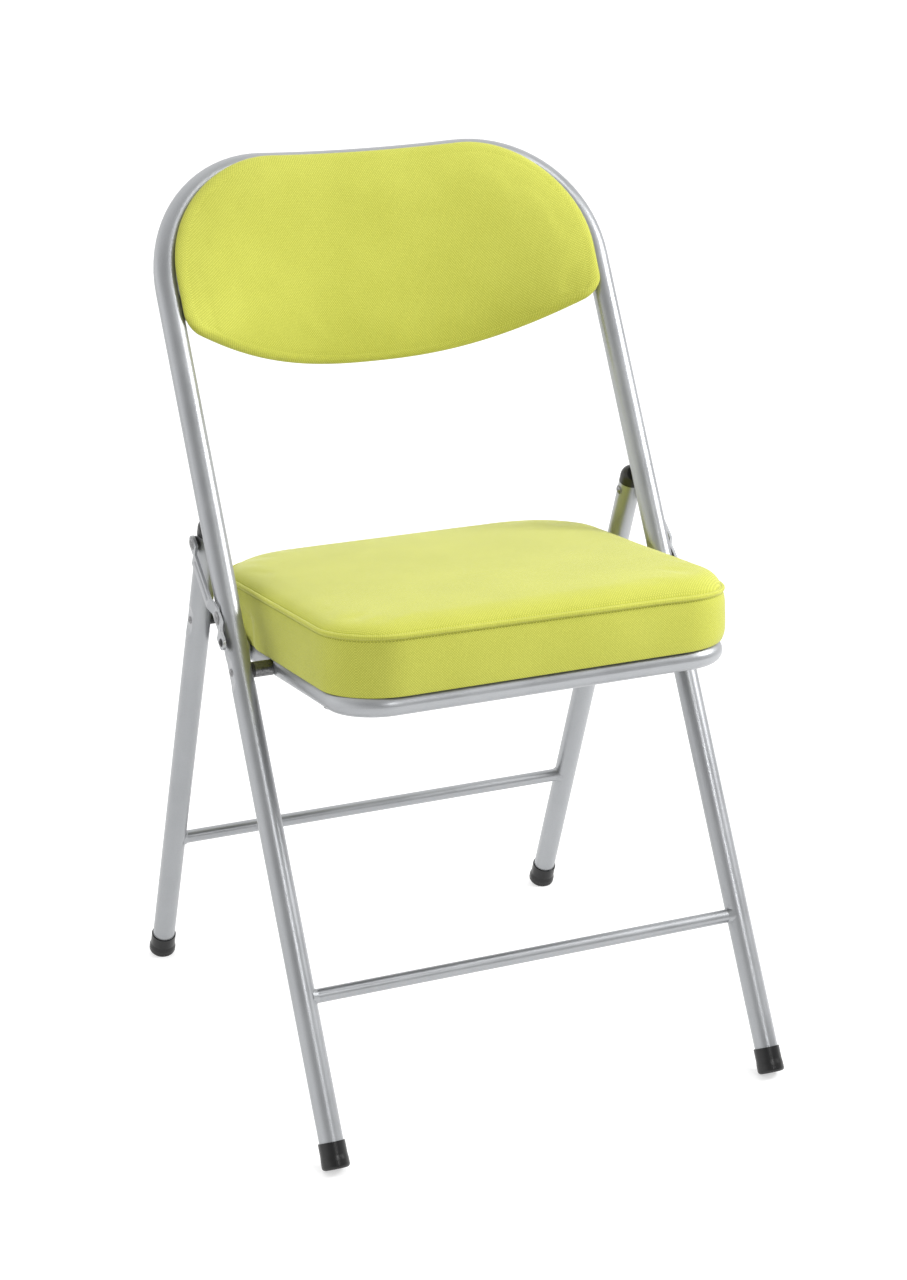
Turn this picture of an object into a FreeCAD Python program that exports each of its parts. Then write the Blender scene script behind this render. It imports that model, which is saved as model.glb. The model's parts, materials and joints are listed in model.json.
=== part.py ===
import FreeCAD
import Part
import math
import os

# Steel folding chair with a padded seat and a padded, dished back.
# A hoop of tube makes the front legs and the back. The rear legs, the seat and two side links
# fold flat against it: on each side hoop, seat, rear leg and link make a linkage of four pivots.
# Millimetres and degrees. +X is the sitter's left, the chair faces -Y, the floor is Z = 0.

# Front frame: one tube bent into a tall hoop that leans back, its top bar bowed backwards
FRAME_WIDTH = 440.0
FRAME_LEAN = 28.95
FRAME_TUBE = 22.0
FRAME_WALL = 1.2
HOOP_LENGTH = 933.0
HOOP_CORNER = 121.0
HOOP_BOW = 8.0

# Rear legs: two straight tubes a little inside the hoop's legs
REAR_INSET = 3.0
REAR_LEAN = 20.7
LEG_TUBE = 22.0
LEG_WALL = 1.2
LEG_TOP = 8.5

# Stretchers between the front legs and between the rear legs
STRETCHER_TUBE = 12.7
STRETCHER_WALL = 1.2
FRONT_STRETCHER_UP = 156.0
REAR_STRETCHER_UP = 158.2
WELD_LEG = 1.6

# Pivots of the linkage on each side
SEAT_PIVOT_UP = 454.0
LINK_PIVOT_RISE = 51.0
REAR_PIVOT_BACK = 120.85
REAR_PIVOT_RISE = 12.7
LINK_END_RISE = 90.58
RIVET = 6.0
RIVET_HEAD = 9.0
SMALL_HEAD = 7.8
LARGE_HEAD = 12.5
RIVET_RISE = 1.8

# Tubes are pressed flat on both sides where a rivet goes through
PRESS_DEPTH = 2.0
PRESS_LENGTH = 20.0
PRESS_RAMP = 8.0

# Seat frame: a U of tube, with hinge plates welded to the rear of its rails
SEAT_INSET = 38.0
SEAT_TILT = 5.15
SEAT_TUBE = 20.0
SEAT_WALL = 1.2
SEAT_REACH = 174.6
SEAT_CORNER = 39.4
RAIL_BACK = 130.0
RAIL_PRESS = 1.5
HINGE_PLATE = 3.5
HINGE_MARGIN = 11.0
HINGE_LENGTH = 58.0
HINGE_SET_UP = 3.0
PIVOT_WASHER = 2.5
SLEEVE = 14.5
SPACER = 13.0
PLUG_RIM = 1.5

# Seat board, and a box cushion with drawn-in sides and a crowned top
BOARD = 8.0
BOARD_INSET = 5.5
CUSHION_NOSE = 13.4
CUSHION_REAR = 174.0
CUSHION_FRONT_SIDE = 15.3
CUSHION_REAR_SIDE = 6.0
CUSHION_FRONT_CORNER = 62.0
CUSHION_REAR_CORNER = 80.0
CUSHION_BAND = 49.0
CUSHION_CROWN = 13.0
CUSHION_LIFT = 0.5
CUSHION_TUCK = 4.0

# Back board and pad, dished so that the middle of the lower edge stands furthest back
BACK_BOARD = 6.0
BACK_BOARD_INSET = 9.0
PAD_SIDE_INSET = 5.2
PAD_OVER_BAR = 4.0
PAD_CORNER_EASE = 3.0
PAD_HEIGHT = 188.0
PAD_LOWER_RISE = 22.0
PAD_LOWER_CORNER = 16.0
PAD_BAR_GAP = 4.8
PAD_DISH_TURN = 21.3
PAD_EDGE = 14.5
PAD_MIDDLE = 26.0

# Tabs welded to the hoop carry the back: one on each leg, below the pad's middle, two under the top bar
TAB = 2.5
TAB_WIDTH = 24.0
TAB_LENGTH = 40.0
TAB_LAP = 2.0
SIDE_TAB_DOWN = 49.0
TOP_TAB_DOWN = 30.0
TOP_TAB_SIDE = 85.0

# Side links: pressed strips whose eyes lie flat and whose rest stands off outwards
LINK_WIDTH = 14.0
LINK_SHEET = 2.5
LINK_STAND_OFF = 3.5
LINK_EYE = 9.0
LINK_RAMP = 8.0
LINK_TAIL = 26.0
LINK_BEAD = 5.0
LINK_WASHER = 1.0
BUMPER = 8.0
BUMPER_RISE = 1.8

# Feet and the caps on the rear legs' upper ends
FOOT_HEIGHT = 24.0
FOOT_FLOOR = 4.0
FOOT_SKIN = 1.2
FOOT_WORN = 1.0
FRONT_FOOT_FLARE = 0.4
FRONT_FOOT_EDGE = 3.0
REAR_FOOT_FLARE = 1.0
REAR_FOOT_EDGE = 4.5
CAP_SHOULDER = 6.5
CAP_STUB = 12.0

# Screws
SCREW = 4.5
SCREW_HEAD = 9.0
SCREW_RISE = 2.5
SEAT_SCREW_BEHIND_BEND = 17.0
SEAT_SCREW_REAR = 34.0

# Fits and clearances
SEATED = 0.05
RUNNING = 0.08
CLEAR = 0.3
CAP_CLEAR = 0.6

V = FreeCAD.Vector
X = V(1, 0, 0)
Z = V(0, 0, 1)
ORIGIN = V(0, 0, 0)
LEAN = math.radians(FRAME_LEAN)
REAR = math.radians(REAR_LEAN)
TILT = math.radians(SEAT_TILT)
BOW = math.radians(HOOP_BOW)
FRAME_UP = V(0, math.sin(LEAN), math.cos(LEAN))
FRAME_OUT = V(0, -math.cos(LEAN), math.sin(LEAN))
LEG_UP = V(0, -math.sin(REAR), math.cos(REAR))
SEAT_FORWARD = V(0, -math.cos(TILT), math.sin(TILT))
SEAT_UP = V(0, math.sin(TILT), math.cos(TILT))

frame_r = FRAME_TUBE / 2
leg_r = LEG_TUBE / 2
seat_r = SEAT_TUBE / 2
rivet_r = RIVET / 2
frame_x = FRAME_WIDTH / 2
rear_x = frame_x - REAR_INSET
rail_x = frame_x - SEAT_INSET
tight_hole = rivet_r + SEATED
loose_hole = rivet_r + RUNNING


def foot_ring(tube_r, flare, edge):
    """Radius of the flat part of a foot's bottom, inside its rounded edge."""
    return tube_r + SEATED + FOOT_SKIN + flare - edge


def foot_lift(tube_r, lean, flare, edge):
    """Height of a foot's bottom centre when its lowest edge is worn flat on the floor."""
    return foot_ring(tube_r, flare, edge) * math.sin(lean) + edge * (1 - math.cos(lean)) - FOOT_WORN


def foot_reach(tube_r, lean, flare, edge):
    """How far a foot reaches out over the floor from the place where its axis meets the floor."""
    back = foot_lift(tube_r, lean, flare, edge) * math.tan(lean) + edge * math.sin(lean)
    return foot_ring(tube_r, flare, edge) * math.cos(lean) + edge - back


# Where the axes of the front and rear legs meet the floor, with the chair centred over the origin
foot_span = (SEAT_PIVOT_UP * math.sin(LEAN) + REAR_PIVOT_BACK
             + (SEAT_PIVOT_UP * math.cos(LEAN) + REAR_PIVOT_RISE) * math.tan(REAR))
front_reach = foot_reach(frame_r, LEAN, FRONT_FOOT_FLARE, FRONT_FOOT_EDGE)
rear_reach = foot_reach(leg_r, REAR, REAR_FOOT_FLARE, REAR_FOOT_EDGE)
front_floor_y = (front_reach - rear_reach - foot_span) / 2
rear_floor_y = front_floor_y + foot_span


def on_frame(x, up, out=0.0):
    """Point by the hoop: up along its legs from the floor, and out in front of their plane."""
    return V(x, front_floor_y, 0) + FRAME_UP * up + FRAME_OUT * out


def on_leg(x, up):
    """Point on a rear leg's axis, up along it from the floor."""
    return V(x, rear_floor_y, 0) + LEG_UP * up


seat_pivot = on_frame(0, SEAT_PIVOT_UP)
link_pivot = on_frame(0, SEAT_PIVOT_UP + LINK_PIVOT_RISE)
rear_pivot = seat_pivot + V(0, REAR_PIVOT_BACK, REAR_PIVOT_RISE)
link_end = rear_pivot + LEG_UP * LINK_END_RISE
leg_top_up = rear_pivot.z / math.cos(REAR) + LINK_END_RISE + LEG_TOP


def on_seat(x, forward, up):
    """Point by the seat: forward along its rails from the seat pivot, and up from their axes."""
    return at(seat_pivot, x) + SEAT_FORWARD * forward + SEAT_UP * up


def at(point, x):
    """A point moved sideways to x."""
    return V(x, point.y, point.z)


def mirrored(shape):
    """The same piece on the other side of the chair."""
    return shape.mirror(ORIGIN, X)


def pair(shape):
    """A piece and its mirror image as separate solids."""
    return Part.makeCompound([mirrored(shape), shape])


def across(point, x0, x1, radius):
    """Round bar along X between two stations."""
    return Part.makeCylinder(radius, x1 - x0, at(point, x0), X)


def bar(start, way, length, radius):
    """Round bar from a point along a direction."""
    return Part.makeCylinder(radius, length, start, way)


def placed(shape, base, x_axis, y_axis, z_axis):
    """A shape drawn about the origin, carried to a base point and a set of axes."""
    moved = shape.copy()
    moved.Placement = FreeCAD.Placement(base, FreeCAD.Rotation(x_axis, y_axis, z_axis, "XYZ"))
    return moved


def line(a, b):
    return Part.LineSegment(a, b).toShape()


def arc(a, middle, b):
    return Part.Arc(a, middle, b).toShape()


def rounded_path(points, radii, closed):
    """Straight runs between points, with a tangent arc of the given radius at each rounded point."""
    count = len(points)
    edges = []
    start = None if closed else points[0]
    first = None
    for i in range(count):
        if radii[i] == 0:
            continue
        before = (points[i - 1] - points[i]).normalize()
        after = (points[(i + 1) % count] - points[i]).normalize()
        half = before.getAngle(after) / 2
        reach = radii[i] / math.tan(half)
        begin = points[i] + before * reach
        end = points[i] + after * reach
        middle = points[i] + (before + after).normalize() * (radii[i] / math.sin(half) - radii[i])
        if start is None:
            first = begin
        else:
            edges.append(line(start, begin))
        edges.append(arc(begin, middle, end))
        start = end
    edges.append(line(start, first if closed else points[-1]))
    return edges


def rod_along(edges, radius):
    """Round rod swept along joined edges."""
    start = edges[0].valueAt(edges[0].FirstParameter)
    heading = edges[0].tangentAt(edges[0].FirstParameter)
    ring = Part.Wire(Part.makeCircle(radius, start, heading))
    return Part.Wire(edges).makePipe(Part.Face(ring))


def presses(centre, along, radius, depth):
    """Blocks outside a rod that leave it flat on both sides about a pivot, with a ramp at each end."""
    flat = PRESS_LENGTH / 2
    end = flat + PRESS_RAMP
    side_way = X.cross(along)
    blocks = []
    for side in (1, -1):
        corners = [(-end, radius), (-flat, radius - depth), (flat, radius - depth), (end, radius),
                   (end, 2 * radius), (-end, 2 * radius)]
        points = [centre + along * a + X * (side * b) - side_way * radius for a, b in corners]
        face = Part.Face(Part.makePolygon(points + points[:1]))
        blocks.append(face.extrude(side_way * (2 * radius)))
    return Part.makeCompound(blocks)


def pressed_tube(edges, radius, wall, along, places, depth):
    """Tube along a path, pressed flat about each of the places, with its wall kept."""
    outside = rod_along(edges, radius)
    bore = rod_along(edges, radius - wall)
    for place in places:
        outside = outside.cut(presses(place, along, radius, depth))
        bore = bore.cut(presses(place, along, radius - wall, depth))
    return outside.cut(bore)


def turned(profile):
    """Solid of revolution about Z of a closed profile of (radius, height) corners."""
    points = [V(radius, 0, height) for radius, height in profile]
    return Part.Face(Part.makePolygon(points + points[:1])).revolve(ORIGIN, Z, 360)


def dome(base, axis, radius, rise):
    """Low spherical head standing on a plane at the base point."""
    ball = (radius ** 2 + rise ** 2) / (2 * rise)
    sphere = Part.makeSphere(ball, base - axis * (ball - rise))
    return sphere.common(bar(base, axis, 2 * rise, 2 * radius))


def rivet(point, x0, x1, head0, head1):
    """Rivet across the chair with a domed head at each end."""
    shank = across(point, x0, x1, rivet_r)
    heads = [dome(at(point, x0), X * -1, head0 / 2, RIVET_RISE),
             dome(at(point, x1), X, head1 / 2, RIVET_RISE)]
    return shank.fuse(heads)


# Front frame
front_start_up = foot_lift(frame_r, LEAN, FRONT_FOOT_FLARE, FRONT_FOOT_EDGE) / math.cos(LEAN) + FOOT_FLOOR
corner_up = HOOP_LENGTH - HOOP_CORNER
corner_inward = X * -math.cos(BOW) - FRAME_OUT * math.sin(BOW)


def corner_point(turn):
    """Point of the hoop's axis on the bend of the +X side, a turn in degrees past the leg."""
    angle = math.radians(turn)
    inward = corner_inward * (HOOP_CORNER * (1 - math.cos(angle)))
    return on_frame(frame_x, corner_up) + inward + FRAME_UP * (HOOP_CORNER * math.sin(angle))


def out_of(point):
    """How far a point stands in front of the plane of the hoop's legs."""
    return (point - on_frame(0, 0)).dot(FRAME_OUT)


def other_side(point):
    return V(-point.x, point.y, point.z)


bend_start = corner_point(0)
bend_middle = corner_point(45)
bend_end = corner_point(90)
bar_middle = on_frame(0, HOOP_LENGTH, out_of(bend_end) - bend_end.x * math.tan(BOW / 2))
leg_start = on_frame(frame_x, front_start_up)
hoop_path = [
    line(leg_start, bend_start),
    arc(bend_start, bend_middle, bend_end),
    arc(bend_end, bar_middle, other_side(bend_end)),
    arc(other_side(bend_end), other_side(bend_middle), other_side(bend_start)),
    line(other_side(bend_start), other_side(leg_start)),
]
frame_places = [at(point, x) for point in (seat_pivot, link_pivot) for x in (frame_x, -frame_x)]
hoop = pressed_tube(hoop_path, frame_r, FRAME_WALL, FRAME_UP, frame_places, PRESS_DEPTH)
for point in (seat_pivot, link_pivot):
    hoop = hoop.cut(pair(across(point, rail_x, frame_x + FRAME_TUBE, tight_hole)))
frame_flat_in = frame_x - frame_r + PRESS_DEPTH
frame_flat_out = frame_x + frame_r - PRESS_DEPTH

# Rear legs
rear_start_up = foot_lift(leg_r, REAR, REAR_FOOT_FLARE, REAR_FOOT_EDGE) / math.cos(REAR) + FOOT_FLOOR
rear_path = [line(on_leg(rear_x, rear_start_up), on_leg(rear_x, leg_top_up))]
rear_leg = pressed_tube(rear_path, leg_r, LEG_WALL, LEG_UP, [at(rear_pivot, rear_x)], PRESS_DEPTH)
for point in (rear_pivot, link_end):
    rear_leg = rear_leg.cut(across(point, rail_x, frame_x + FRAME_TUBE, tight_hole))
leg_flat_in = rear_x - leg_r + PRESS_DEPTH
leg_flat_out = rear_x + leg_r - PRESS_DEPTH


# Stretchers are coped to the legs and welded all round
def stretcher(middle, end_x, leg_way, leg_radius):
    leg_bar = bar(at(middle, end_x) - leg_way * FRAME_TUBE, leg_way, 2 * FRAME_TUBE, leg_radius + SEATED)
    tube_r = STRETCHER_TUBE / 2
    bead = Part.makeCone(tube_r, tube_r + 2 * WELD_LEG, 4 * WELD_LEG,
                         at(middle, end_x - leg_radius - WELD_LEG), X)
    solid = across(middle, -end_x, end_x, tube_r).fuse([bead, mirrored(bead)])
    bore = across(middle, -end_x, end_x, tube_r - STRETCHER_WALL)
    return solid.cut(bore).cut(pair(leg_bar))


front_stretcher = stretcher(on_frame(0, FRONT_STRETCHER_UP), frame_x, FRAME_UP, frame_r)
rear_stretcher = stretcher(on_leg(0, REAR_STRETCHER_UP), rear_x, LEG_UP, leg_r)


# Feet: moulded cups pushed over the tubes' ends, rounded below and worn flat where they stand
def foot(tube_r, floor_point, axis, lean, flare, edge):
    inside = tube_r + SEATED
    rim = inside + FOOT_SKIN
    wide = rim + flare
    profile = [(0, 0), (wide, 0), (wide, FOOT_HEIGHT / 3), (rim, FOOT_HEIGHT / 2), (rim, FOOT_HEIGHT),
               (inside, FOOT_HEIGHT), (inside, FOOT_FLOOR), (0, FOOT_FLOOR)]
    cup = turned(profile)
    bottom_edges = [e for e in cup.Edges if abs(e.BoundBox.ZMax) < SEATED and e.BoundBox.XLength > wide]
    cup = cup.makeFillet(edge, bottom_edges)
    base = floor_point + axis * (foot_lift(tube_r, lean, flare, edge) / math.cos(lean))
    cup.Placement = FreeCAD.Placement(base, FreeCAD.Rotation(Z, axis))
    room = 4 * wide
    return cup.cut(Part.makeBox(room, room, room, floor_point - V(room / 2, room / 2, room)))


front_foot = foot(frame_r, on_frame(frame_x, 0), FRAME_UP, LEAN, FRONT_FOOT_FLARE, FRONT_FOOT_EDGE)
rear_foot = foot(leg_r, on_leg(rear_x, 0), LEG_UP, REAR, REAR_FOOT_FLARE, REAR_FOOT_EDGE)


# Leg caps: domed plugs, sloped off so that they pass behind the hoop's tube
def leg_cap():
    base = on_leg(rear_x, leg_top_up)
    shoulder = bar(base + LEG_UP * SEATED, LEG_UP, CAP_SHOULDER, leg_r)
    nose = dome(base + LEG_UP * (SEATED + CAP_SHOULDER), LEG_UP, leg_r, leg_r)
    stub = bar(base - LEG_UP * CAP_STUB, LEG_UP, CAP_STUB + CAP_SHOULDER, leg_r - LEG_WALL - SEATED)
    plug = shoulder.fuse([nose, stub])
    room = 4 * LEG_TUBE
    ahead = Part.makeBox(room, room, room, V(-room / 2, -room / 2, 0))
    corner = on_frame(rear_x, (base - on_frame(rear_x, 0)).dot(FRAME_UP), -frame_r - CAP_CLEAR)
    plug = plug.cut(placed(ahead, corner, X, FRAME_UP, X.cross(FRAME_UP)))
    return plug.cut(across(link_end, rail_x, frame_x + FRAME_TUBE, tight_hole))


cap = leg_cap()

# Seat frame
seat_path = rounded_path(
    [on_seat(rail_x, -RAIL_BACK, 0), on_seat(rail_x, SEAT_REACH, 0),
     on_seat(-rail_x, SEAT_REACH, 0), on_seat(-rail_x, -RAIL_BACK, 0)],
    [0, SEAT_CORNER, SEAT_CORNER, 0], False)
rail_places = [at(seat_pivot, rail_x), at(seat_pivot, -rail_x)]
seat_tube = pressed_tube(seat_path, seat_r, SEAT_WALL, SEAT_FORWARD, rail_places, RAIL_PRESS)
seat_tube = seat_tube.cut(pair(across(seat_pivot, rail_x - SEAT_TUBE, frame_x, loose_hole)))
rail_flat_in = rail_x - seat_r + RAIL_PRESS
rail_flat_out = rail_x + seat_r - RAIL_PRESS

# Plugs in the rails' open ends
plug_start = on_seat(rail_x, -RAIL_BACK - PLUG_RIM, 0)
rail_plug = bar(plug_start, SEAT_FORWARD, PLUG_RIM - SEATED, seat_r)
rail_plug = rail_plug.fuse(bar(plug_start, SEAT_FORWARD, CAP_STUB, seat_r - SEAT_WALL - SEATED))

# Hinge plates stand up from the rails to the rear pivot
plate_in = rail_x + seat_r + SEATED
plate_out = plate_in + HINGE_PLATE
rear_pivot_behind = (seat_pivot - rear_pivot).dot(SEAT_FORWARD)
plate_corners = [at(rear_pivot, plate_in),
                 on_seat(plate_in, -rear_pivot_behind, HINGE_SET_UP),
                 on_seat(plate_in, HINGE_LENGTH - rear_pivot_behind, HINGE_SET_UP)]
plate_core = Part.Wire([line(plate_corners[i - 1], plate_corners[i]) for i in range(3)])
hinge_plate = Part.Face(plate_core.makeOffset2D(HINGE_MARGIN)).extrude(X * HINGE_PLATE)
hinge_plate = hinge_plate.cut(across(rear_pivot, rail_x, frame_x, loose_hole))

# Seat pivot: a washer on the hoop and a sleeve on the rail, with a rivet fast in the hoop
washer_end = frame_flat_in - SEATED - PIVOT_WASHER
seat_washer = across(seat_pivot, washer_end, frame_flat_in - SEATED, SLEEVE / 2)
seat_washer = seat_washer.cut(across(seat_pivot, rail_x, frame_x, tight_hole))
sleeve = across(seat_pivot, rail_flat_out + SEATED, washer_end - CLEAR, SLEEVE / 2)
sleeve = sleeve.cut(across(seat_pivot, rail_x, frame_x, loose_hole))
seat_rivet = rivet(seat_pivot, rail_flat_in - CLEAR, frame_flat_out + SEATED, RIVET_HEAD, SMALL_HEAD)

# Rear pivot: a spacer on the hinge plate, with a rivet fast in the leg
rear_spacer = across(rear_pivot, plate_out + SEATED, leg_flat_in - CLEAR, SPACER / 2)
rear_spacer = rear_spacer.cut(across(rear_pivot, rail_x, frame_x, loose_hole))
rear_rivet = rivet(rear_pivot, plate_in - CLEAR, leg_flat_out + SEATED, RIVET_HEAD, SMALL_HEAD)

# Side links
washer_top = frame_flat_out + SEATED + LINK_WASHER
link_in = washer_top + CLEAR
link_out = link_in + LINK_SHEET
link_way = link_end - link_pivot
link_length = link_way.Length
link_along = link_way * (1 / link_length)


def side_link():
    """Strip with two flat eyes, standing off between them and at its tail, with a bead along it."""
    half = LINK_WIDTH / 2
    high = LINK_STAND_OFF
    ramp_end = LINK_EYE + LINK_RAMP
    steps = [(-LINK_TAIL - half, high), (-ramp_end, high), (-LINK_EYE, 0), (LINK_EYE, 0),
             (ramp_end, high), (link_length - ramp_end, high), (link_length - LINK_EYE, 0),
             (link_length + half, 0)]
    inner = [V(a, -half, b) for a, b in steps]
    outer = [V(a, -half, b + LINK_SHEET) for a, b in reversed(steps)]
    strip = Part.Face(Part.makePolygon(inner + outer + inner[:1])).extrude(V(0, LINK_WIDTH, 0))
    depth = high + LINK_SHEET
    ends = (-LINK_TAIL, link_length)
    outline = Part.makeBox(link_length + LINK_TAIL, LINK_WIDTH, depth, V(-LINK_TAIL, -half, 0))
    strip = strip.common(outline.fuse([bar(V(a, 0, 0), Z, depth, half) for a in ends]))
    bead_start = ramp_end + LINK_BEAD
    bead_length = link_length - 2 * bead_start
    bead_r = LINK_BEAD / 2
    bead_sink = bead_r / 2
    for level in (high + LINK_SHEET, high):
        start = V(bead_start, 0, level - bead_sink)
        tips = [Part.makeSphere(bead_r, start + X * a) for a in (0, bead_length)]
        bead = bar(start, X, bead_length, bead_r).fuse(tips)
        strip = strip.fuse(bead) if level > high else strip.cut(bead)
    strip = strip.cut(bar(ORIGIN, Z, depth, loose_hole))
    for a in ends:
        strip = strip.cut(bar(V(a, 0, 0), Z, depth, tight_hole))
    return placed(strip, at(link_pivot, link_in), link_along, X.cross(link_along), X)


link = side_link()

# Link pivot: a washer on the hoop and a rivet fast in it
link_washer = across(link_pivot, frame_flat_out + SEATED, washer_top, SPACER / 2)
link_washer = link_washer.cut(across(link_pivot, frame_x, link_out, tight_hole))
link_rivet = rivet(link_pivot, frame_flat_in - SEATED, link_out + CLEAR, RIVET_HEAD, LARGE_HEAD)

# Upper end of the link: a large headed rivet and two washers on the link, which meet the headed
# stub in the rear leg
end_stop = rear_x + leg_r + CLEAR
end_rivet = across(link_end, end_stop, link_out + SEATED, rivet_r)
end_rivet = end_rivet.fuse(dome(at(link_end, link_out + SEATED), X, LARGE_HEAD / 2, RIVET_RISE))
end_washers = across(link_end, end_stop, link_in - SEATED, SPACER / 2)
groove_middle = (end_stop + link_in) / 2
groove = across(link_end, groove_middle - RUNNING, groove_middle + RUNNING, SPACER)
groove = groove.cut(across(link_end, end_stop, link_in, SPACER / 2 - CLEAR))
end_washers = end_washers.cut(groove).cut(across(link_end, end_stop, link_in, tight_hole))
leg_bar = bar(on_leg(rear_x, leg_top_up - 2 * LEG_TUBE), LEG_UP, 2 * LEG_TUBE, leg_r + SEATED)
leg_head_x = rear_x - leg_r
leg_head = across(link_end, leg_head_x, rear_x, RIVET_HEAD / 2).cut(leg_bar)
leg_head = leg_head.fuse(dome(at(link_end, leg_head_x - SEATED), X * -1, RIVET_HEAD / 2, RIVET_RISE))
leg_rivet = across(link_end, leg_head_x - SEATED, rear_x + leg_r, rivet_r).fuse(leg_head)

# Bumper: a soft button through the link's tail
tail_end = link_pivot - link_along * LINK_TAIL
tail_in = link_in + LINK_STAND_OFF
tail_out = tail_in + LINK_SHEET
bumper = across(tail_end, tail_in - BUMPER_RISE, tail_out + SEATED, rivet_r)
bumper = bumper.fuse([across(tail_end, tail_in - BUMPER_RISE, tail_in - SEATED, BUMPER / 2),
                      dome(at(tail_end, tail_out + SEATED), X, BUMPER / 2, BUMPER_RISE)])


# Seat board and cushion
def seat_outline(inset, up):
    """Outline of the cushion drawn in by an inset, at a height above the rails' axes."""
    front = SEAT_REACH + CUSHION_NOSE - inset
    rear = -CUSHION_REAR + inset
    front_half = rail_x + CUSHION_FRONT_SIDE - inset
    rear_half = rail_x + CUSHION_REAR_SIDE - inset
    corners = [on_seat(front_half, front, up), on_seat(rear_half, rear, up),
               on_seat(-rear_half, rear, up), on_seat(-front_half, front, up)]
    radii = [CUSHION_FRONT_CORNER, CUSHION_REAR_CORNER, CUSHION_REAR_CORNER, CUSHION_FRONT_CORNER]
    return Part.Wire(rounded_path(corners, [max(r - inset, r / 2) for r in radii], True))


board_up = seat_r + CLEAR
seat_board = Part.Face(seat_outline(BOARD_INSET, board_up)).extrude(SEAT_UP * BOARD)
pocket = Part.Face(seat_outline(BOARD_INSET - CLEAR, board_up)).extrude(SEAT_UP * (BOARD + CLEAR))

band_low = board_up + CUSHION_LIFT
band_high = band_low + CUSHION_BAND
levels = [(CUSHION_TUCK, band_low),
          (CUSHION_TUCK / 4, band_low + CUSHION_BAND / 6),
          (0, band_low + CUSHION_BAND / 2),
          (CUSHION_TUCK / 4, band_high - CUSHION_BAND / 6),
          (CUSHION_TUCK, band_high)]
CROWN_STEPS = 4
for step in range(1, CROWN_STEPS + 1):
    turn = math.pi / 2 * step / (CROWN_STEPS + 1)
    draw_in = CUSHION_TUCK + rail_x * (1 - math.cos(turn))
    levels.append((draw_in, band_high + CUSHION_CROWN * math.sin(turn)))
cushion = Part.makeLoft([seat_outline(inset, up) for inset, up in levels], True, True).cut(pocket)


# Screws come up through the rails into the seat board
def seat_screw(forward):
    start = on_seat(rail_x, forward, -seat_r - SEATED)
    shank = bar(start, SEAT_UP, seat_r + board_up + BOARD / 2, SCREW / 2)
    return shank.fuse(dome(start, SEAT_UP * -1, SCREW_HEAD / 2, SCREW_RISE))


seat_screws = []
for place in (SEAT_REACH - SEAT_CORNER - SEAT_SCREW_BEHIND_BEND, -SEAT_SCREW_REAR):
    seat_screws += pair(seat_screw(place)).Solids
    drill = bar(on_seat(rail_x, place, -SEAT_TUBE), SEAT_UP,
                SEAT_TUBE + board_up + BOARD / 2 + SEATED, SCREW / 2 + SEATED)
    seat_tube = seat_tube.cut(pair(drill))
    seat_board = seat_board.cut(pair(drill))

# The seat's bent tube in three lengths, parted where its bends begin: two rails and the front bow
bend_start = SEAT_REACH - SEAT_CORNER


def front_of(forward):
    """Space before a place along the seat, as a block round the front of its tube."""
    block = Part.makeBox(2 * frame_x, 2 * SEAT_CORNER, 2 * SEAT_TUBE, V(-frame_x, 0, -SEAT_TUBE))
    return placed(block, on_seat(0, forward, 0), X, SEAT_FORWARD, SEAT_UP * -1)


seat_bow = seat_tube.common(front_of(bend_start + SEATED)).Solids[0]
seat_rail = max(seat_tube.cut(front_of(bend_start)).Solids, key=lambda solid: solid.CenterOfMass.x)

# Back: its rear face is bowed across, and turned further back towards the lower edge
pad_half = frame_x - PAD_SIDE_INSET
pad_top = HOOP_LENGTH + PAD_OVER_BAR
pad_corner = HOOP_CORNER - PAD_CORNER_EASE
dish_slope = math.tan(math.radians(PAD_DISH_TURN))
dish_middle = out_of(bar_middle) + frame_r + PAD_BAR_GAP
side_out = math.sqrt(frame_r ** 2 - PAD_SIDE_INSET ** 2) + 4 * CLEAR
DISH_TOP = (2, 1.5)
DISH_LOW = (2.3, 1)
LOWER_POWER = 2.6


def dish_share(x, bow, power):
    """Share of the dish's depth at a place across the back: 1 in the middle, 0 at the sides."""
    return max(1 - abs(x / pad_half) ** bow, 0) ** power


def board_out(x, up):
    """How far the back's rear face stands in front of the hoop's plane: straight upwards, bowed across."""
    at_top = side_out + (dish_middle - side_out) * dish_share(x, *DISH_TOP)
    low_middle = dish_middle - dish_slope * PAD_HEIGHT
    at_low = side_out + (low_middle - side_out) * dish_share(x, *DISH_LOW)
    return at_top + (at_low - at_top) * (pad_top - up) / PAD_HEIGHT


def upper_edge(x, inset):
    """Height of the back's upper edge: straight, with large round corners."""
    corner = pad_corner - inset
    past = max(abs(x) - (pad_half - inset - corner), 0)
    return pad_top - inset - corner + math.sqrt(max(corner ** 2 - past ** 2, 0))


def lower_edge(x, inset):
    """Height of the back's lower edge: a shallow bow with small round corners."""
    past = max(abs(x) - (pad_half - inset - PAD_LOWER_CORNER), 0)
    lift = PAD_LOWER_CORNER - math.sqrt(max(PAD_LOWER_CORNER ** 2 - past ** 2, 0))
    return pad_top - PAD_HEIGHT + inset + PAD_LOWER_RISE * abs(x / pad_half) ** LOWER_POWER + lift


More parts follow.
